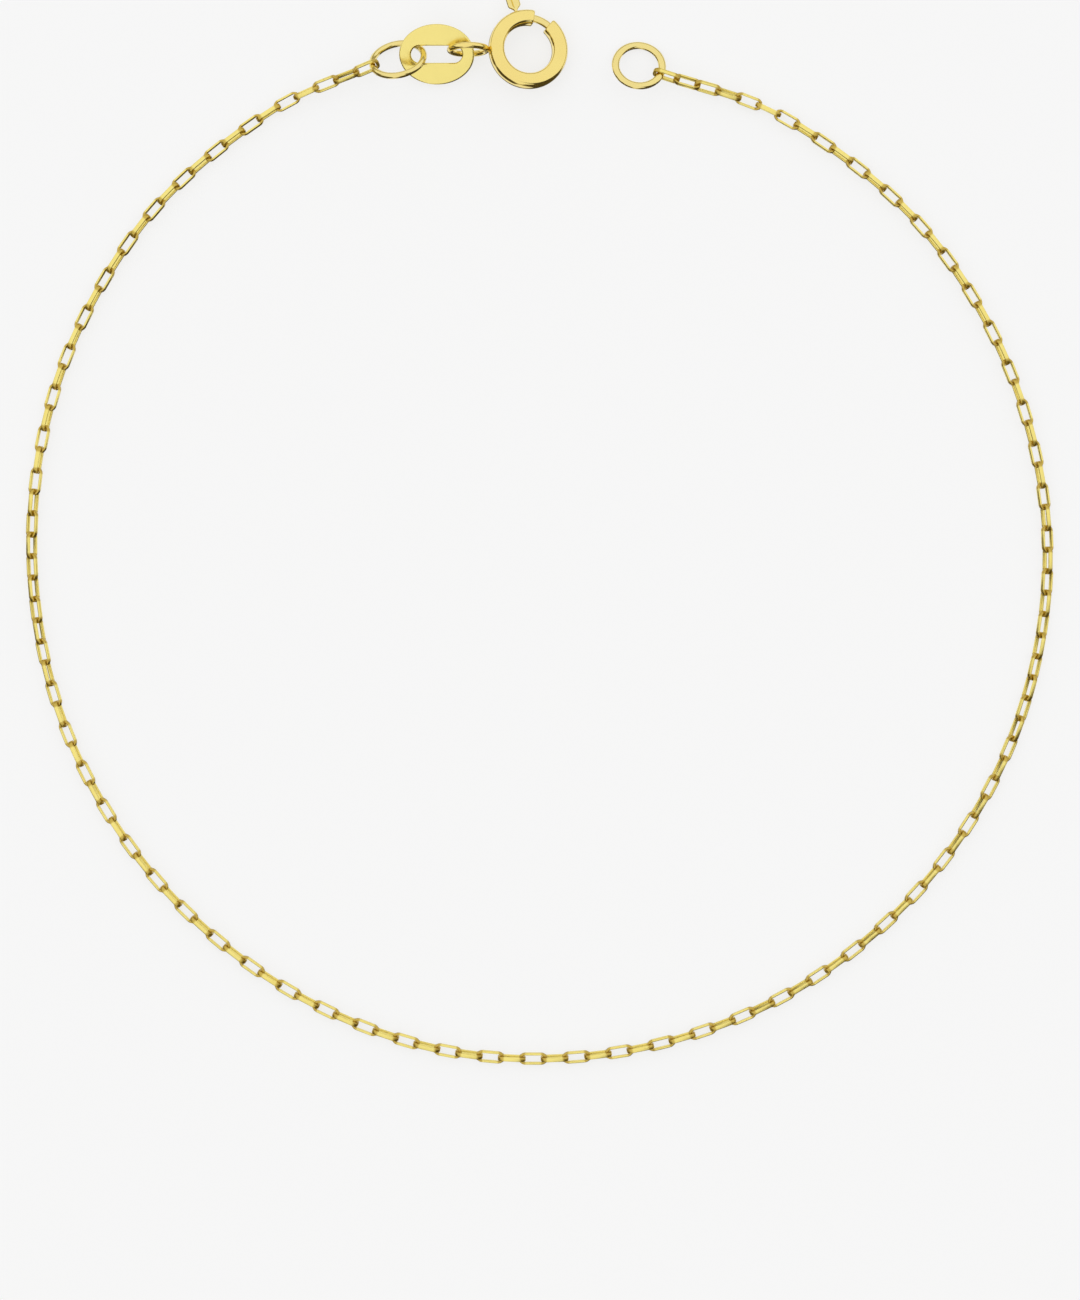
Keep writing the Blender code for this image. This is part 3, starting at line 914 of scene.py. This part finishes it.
def bolt_rows():
    """Sections of the sprung bolt, from its rounded nose to its tail inside the tube."""
    start = TUBE_TO - 360 - BOLT_CATCH
    end = TUBE_FROM + BOLT_TAIL
    nose = math.degrees(BOLT_DIAMETER / 2 / CLASP_RADIUS)
    rows = []
    for turn in NOSE_TURNS:
        across = BOLT_DIAMETER * math.sin(math.radians(turn))
        angle = start + nose * (1 - math.cos(math.radians(turn)))
        rows.append(section_at(angle, across, across, BOLT_SIDES))
    for angle in np.linspace(start + nose, end, BOLT_STEPS):
        rows.append(section_at(angle, BOLT_DIAMETER, BOLT_DIAMETER, BOLT_SIDES))
    return rows


def make_trigger(matrix):
    """The sprung bolt and its thumb lever."""
    material = round_wire_gold()
    bolt = net_mesh("clasp_bolt", bolt_rows(), matrix)
    dressed(bolt, material, "trigger", "clasp_trigger")
    turned = matrix @ Matrix.Rotation(math.radians(LEVER_ANGLE), 4, "Z")
    lever = net_mesh("clasp_lever", lever_rows(), turned)
    dressed(lever, material, "trigger", "clasp_trigger", crease=LEVER_CREASE)


def make_bracelet():
    """Every piece of the bracelet; returns the middle of its loop on the surface."""
    clasp = clasp_matrix()
    loop_middle = Vector((*clasp.translation.xy, 0.0)) - Vector((*CLASP_PLACE, 0.0))
    jump_middle = middle_of("jump_ring")
    end_middle = middle_of("end_ring")
    tree = ring_tree()
    make_rings(tree, jump_middle, end_middle)
    make_chain(loop_middle, jump_middle, end_middle)
    make_tag()
    make_clasp_body(tree, clasp)
    make_trigger(clasp)
    return loop_middle


# Table, light and camera


def make_table():
    """White light table. Gloss doesn't mirror it: the tent's dark gap and cards show there instead."""
    bpy.ops.mesh.primitive_plane_add(size=TABLE_SIZE)
    table = bpy.context.object
    table.name = "white_table"
    table.data.materials.append(lit_acrylic())
    table.visible_glossy = False


def tent_light(tree):
    """Colour of the light from each direction: a white tent, with a dark gap that black cards widen."""
    towards = add(tree, "ShaderNodeTexCoord").outputs["Generated"]
    height = add(tree, "ShaderNodeSeparateXYZ", {0: towards}).outputs["Z"]
    level = add(tree, "ShaderNodeVectorMath", {0: towards, 1: (1.0, 1.0, 0.0)}, operation="MULTIPLY")
    level = add(tree, "ShaderNodeVectorMath", {0: level}, operation="NORMALIZE")
    top = GAP_TOP
    foot = GAP_FOOT
    carded = 0.0
    for azimuth, start, full, up, down in BLACK_CARDS:
        side = add(tree, "ShaderNodeVectorMath", {0: level, 1: bearing(azimuth)}, operation="DOT_PRODUCT")
        card = add(
            tree,
            "ShaderNodeMapRange",
            {"Value": side.outputs["Value"], "From Min": start, "From Max": full},
            interpolation_type="SMOOTHSTEP",
        )
        above = add(tree, "ShaderNodeMath", {0: card, 1: up}, operation="MULTIPLY")
        below = add(tree, "ShaderNodeMath", {0: card, 1: down}, operation="MULTIPLY")
        top = add(tree, "ShaderNodeMath", {0: above, 1: top}, operation="ADD")
        foot = add(tree, "ShaderNodeMath", {0: foot, 1: below}, operation="SUBTRACT")
        carded = add(tree, "ShaderNodeMath", {0: carded, 1: card}, operation="MAXIMUM")
    over = add(tree, "ShaderNodeMath", {0: height, 1: top}, operation="SUBTRACT")
    under = add(tree, "ShaderNodeMath", {0: foot, 1: height}, operation="SUBTRACT")
    beyond = add(tree, "ShaderNodeMath", {0: over, 1: under}, operation="MAXIMUM")
    above_shade = add(tree, "ShaderNodeMath", {0: height, 1: SHADE_BELOW}, operation="SUBTRACT")
    clear = add(tree, "ShaderNodeMath", {0: beyond, 1: above_shade}, operation="MINIMUM")
    bright = add(
        tree,
        "ShaderNodeMapRange",
        {"Value": clear, "From Min": -GAP_EDGE, "From Max": GAP_EDGE},
        interpolation_type="SMOOTHSTEP",
    )
    dim = add(
        tree,
        "ShaderNodeMix",
        {0: carded, FIRST_COLOUR: linear("#A69C7C"), SECOND_COLOUR: linear("#4E4630")},
        data_type="RGBA",
    )
    tent = add(
        tree,
        "ShaderNodeMix",
        {0: bright, FIRST_COLOUR: dim.outputs[MIXED_COLOUR], SECOND_COLOUR: linear("#FFFFFF")},
        data_type="RGBA",
    )
    return tent.outputs[MIXED_COLOUR]


def make_studio():
    """The light tent round the table, and the plain pale backdrop that the camera sees."""
    world = bpy.data.worlds.new("light_tent")
    bpy.context.scene.world = world
    world.use_nodes = True
    tree = world.node_tree
    tree.nodes.clear()
    light = add(tree, "ShaderNodeBackground", {"Color": tent_light(tree), "Strength": TENT_LIGHT})
    backdrop = add(tree, "ShaderNodeBackground", {"Color": linear("#F7F7F7"), "Strength": 1.0})
    seen = add(tree, "ShaderNodeLightPath").outputs["Is Camera Ray"]
    mixed = add(tree, "ShaderNodeMixShader", {0: seen, 1: light, 2: backdrop})
    add(tree, "ShaderNodeOutputWorld", {"Surface": mixed})
    bpy.context.scene.view_settings.view_transform = "Standard"


def make_camera(loop_middle):
    """Straight down, the picture's long side fitted to its real height on the table."""
    aim = loop_middle + PICTURE_MIDDLE
    camera = bpy.data.cameras.new("view_from_above")
    camera.sensor_width = SENSOR
    camera.lens = SENSOR * (CAMERA_HEIGHT - aim.z) / PICTURE_HIGH
    camera.clip_start = CAMERA_NEAR
    holder = placed("view_from_above", camera)
    holder.location = (aim.x, aim.y, CAMERA_HEIGHT)
    bpy.context.scene.camera = holder


loop_middle = make_bracelet()
make_table()
make_studio()
make_camera(loop_middle)
